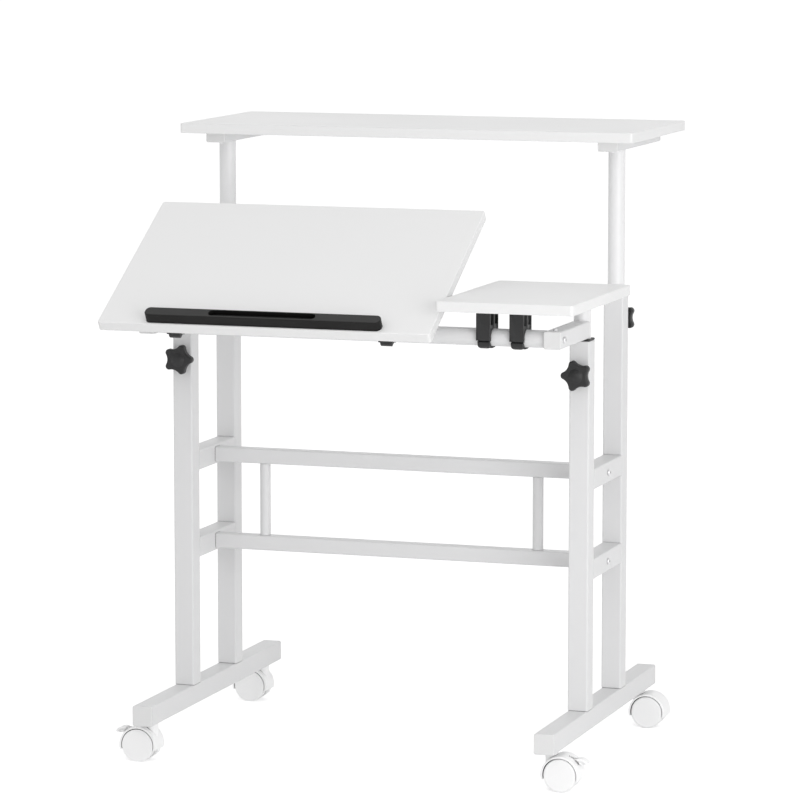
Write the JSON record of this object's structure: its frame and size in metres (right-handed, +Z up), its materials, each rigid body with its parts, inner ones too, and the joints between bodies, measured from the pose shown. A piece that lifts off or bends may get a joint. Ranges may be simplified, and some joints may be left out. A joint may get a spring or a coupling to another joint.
{
  "type": "sit-stand desk",
  "caption": "Rolling sit-stand desk: tilting board with stop bar, side shelf and monitor shelf on clamped sliding posts in a white tube frame with braked casters.",
  "frame": {"origin": "on the floor, under the middle of the desk's box", "axes": "+Z up; -Y to the front, where the user stands; +X to the user's right, the side shelf's side"},
  "size_m": [0.7186, 0.6289, 0.9165],
  "materials": {
    "white_board": "white laminate",
    "white_steel": "powder coat",
    "black_plastic": "matte",
    "zinc_steel": "zinc plated",
    "white_plastic": "satin",
    "wheel_plastic": "satin"
  },
  "bodies": {
    "base": {"left_foot": "white_steel", "right_foot": "white_steel", "foot_end_caps": "white_plastic", "caster_stems": "zinc_steel", "left_front_leg": "white_steel", "right_front_leg": "white_steel", "left_rear_leg": "white_steel", "right_rear_leg": "white_steel", "front_leg_bushings": "black_plastic", "rear_leg_bushings": "black_plastic", "knob_bosses": "white_steel", "left_upper_rung": "white_steel", "right_upper_rung": "white_steel", "left_lower_rung": "white_steel", "right_lower_rung": "white_steel", "upper_cross_bar": "white_steel", "lower_cross_bar": "white_steel", "cross_bar_bolts": "zinc_steel", "left_strut": "white_steel", "right_strut": "white_steel"},
    "desk_carriage": {"left_front_post": "white_steel", "right_front_post": "white_steel", "post_caps": "black_plastic", "front_post_guides": "black_plastic", "left_side_bar": "white_steel", "right_side_bar": "white_steel", "side_bar_caps": "white_plastic", "side_bar_screws": "zinc_steel", "pivot_tube": "white_steel", "pivot_tube_bolts": "zinc_steel", "side_shelf": "white_board", "shelf_clips": "black_plastic", "shelf_clip_screws": "zinc_steel"},
    "tilting_board": {"desk_board": "white_board", "stop_bar": "black_plastic", "left_tilt_clip": "black_plastic", "right_tilt_clip": "black_plastic", "tilt_clip_screws": "zinc_steel"},
    "monitor_carriage": {"monitor_shelf": "white_board", "left_rear_post": "white_steel", "right_rear_post": "white_steel", "rear_post_guides": "black_plastic", "left_shelf_bracket": "white_steel", "right_shelf_bracket": "white_steel", "bracket_caps": "white_plastic", "bracket_screws": "zinc_steel"},
    "left_front_clamp": {"left_front_knob": "black_plastic"},
    "right_front_clamp": {"right_front_knob": "black_plastic"},
    "left_rear_clamp": {"left_rear_knob": "black_plastic"},
    "right_rear_clamp": {"right_rear_knob": "black_plastic"},
    "left_front_caster": {"left_front_caster_hood": "white_plastic"},
    "left_front_wheels": {"left_front_wheel_pair": "wheel_plastic"},
    "left_front_brake": {"left_front_brake_lever": "white_plastic"},
    "right_front_caster": {"right_front_caster_hood": "white_plastic"},
    "right_front_wheels": {"right_front_wheel_pair": "wheel_plastic"},
    "right_front_brake": {"right_front_brake_lever": "white_plastic"},
    "left_rear_caster": {"left_rear_caster_hood": "white_plastic"},
    "left_rear_wheels": {"left_rear_wheel_pair": "wheel_plastic"},
    "right_rear_caster": {"right_rear_caster_hood": "white_plastic"},
    "right_rear_wheels": {"right_rear_wheel_pair": "wheel_plastic"}
  },
  "joints": [
    {"name": "desk_height", "type": "slide", "parent": "base", "child": "desk_carriage", "axis": [0, 0, 1], "range_m": [0, 0.35]},
    {"name": "board_tilt", "type": "hinge", "parent": "desk_carriage", "child": "tilting_board", "pos_m": [0, -0.2175, 0.6415], "axis": [1, 0, 0], "range_deg": [-30.3, 29.5]},
    {"name": "monitor_height", "type": "slide", "parent": "base", "child": "monitor_carriage", "axis": [0, 0, 1], "range_m": [-0.15, 0.3]},
    {"name": "left_front_knob_turn", "type": "hinge", "parent": "base", "child": "left_front_clamp", "pos_m": [-0.3045, -0.097, 0.5775], "axis": [0, -1, 0], "range_deg": [0, 360]},
    {"name": "right_front_knob_turn", "type": "hinge", "parent": "base", "child": "right_front_clamp", "pos_m": [0.3045, -0.097, 0.5775], "axis": [0, -1, 0], "range_deg": [0, 360]},
    {"name": "left_rear_knob_turn", "type": "hinge", "parent": "base", "child": "left_rear_clamp", "pos_m": [-0.3045, 0.1105, 0.6365], "axis": [0, 1, 0], "range_deg": [0, 360]},
    {"name": "right_rear_knob_turn", "type": "hinge", "parent": "base", "child": "right_rear_clamp", "pos_m": [0.3045, 0.1105, 0.6365], "axis": [0, 1, 0], "range_deg": [0, 360]},
    {"name": "left_front_caster_swivel", "type": "hinge", "parent": "base", "child": "left_front_caster", "pos_m": [-0.3045, -0.2255, 0.0575], "axis": [0, 0, 1], "continuous": true},
    {"name": "left_front_wheels_roll", "type": "hinge", "parent": "left_front_caster", "child": "left_front_wheels", "pos_m": [-0.321, -0.2255, 0.024], "axis": [0, 1, 0], "continuous": true},
    {"name": "left_front_brake_press", "type": "hinge", "parent": "left_front_caster", "child": "left_front_brake", "pos_m": [-0.333, -0.2255, 0.045], "axis": [0, -1, 0], "range_deg": [0, 12]},
    {"name": "right_front_caster_swivel", "type": "hinge", "parent": "base", "child": "right_front_caster", "pos_m": [0.3045, -0.2255, 0.0575], "axis": [0, 0, 1], "continuous": true},
    {"name": "right_front_wheels_roll", "type": "hinge", "parent": "right_front_caster", "child": "right_front_wheels", "pos_m": [0.321, -0.2255, 0.024], "axis": [0, -1, 0], "continuous": true},
    {"name": "right_front_brake_press", "type": "hinge", "parent": "right_front_caster", "child": "right_front_brake", "pos_m": [0.333, -0.2255, 0.045], "axis": [0, 1, 0], "range_deg": [0, 12]},
    {"name": "left_rear_caster_swivel", "type": "hinge", "parent": "base", "child": "left_rear_caster", "pos_m": [-0.3045, 0.2395, 0.0575], "axis": [0, 0, 1], "continuous": true},
    {"name": "left_rear_wheels_roll", "type": "hinge", "parent": "left_rear_caster", "child": "left_rear_wheels", "pos_m": [-0.321, 0.2395, 0.024], "axis": [0, 1, 0], "continuous": true},
    {"name": "right_rear_caster_swivel", "type": "hinge", "parent": "base", "child": "right_rear_caster", "pos_m": [0.3045, 0.2395, 0.0575], "axis": [0, 0, 1], "continuous": true},
    {"name": "right_rear_wheels_roll", "type": "hinge", "parent": "right_rear_caster", "child": "right_rear_wheels", "pos_m": [0.321, 0.2395, 0.024], "axis": [0, -1, 0], "continuous": true}
  ]
}
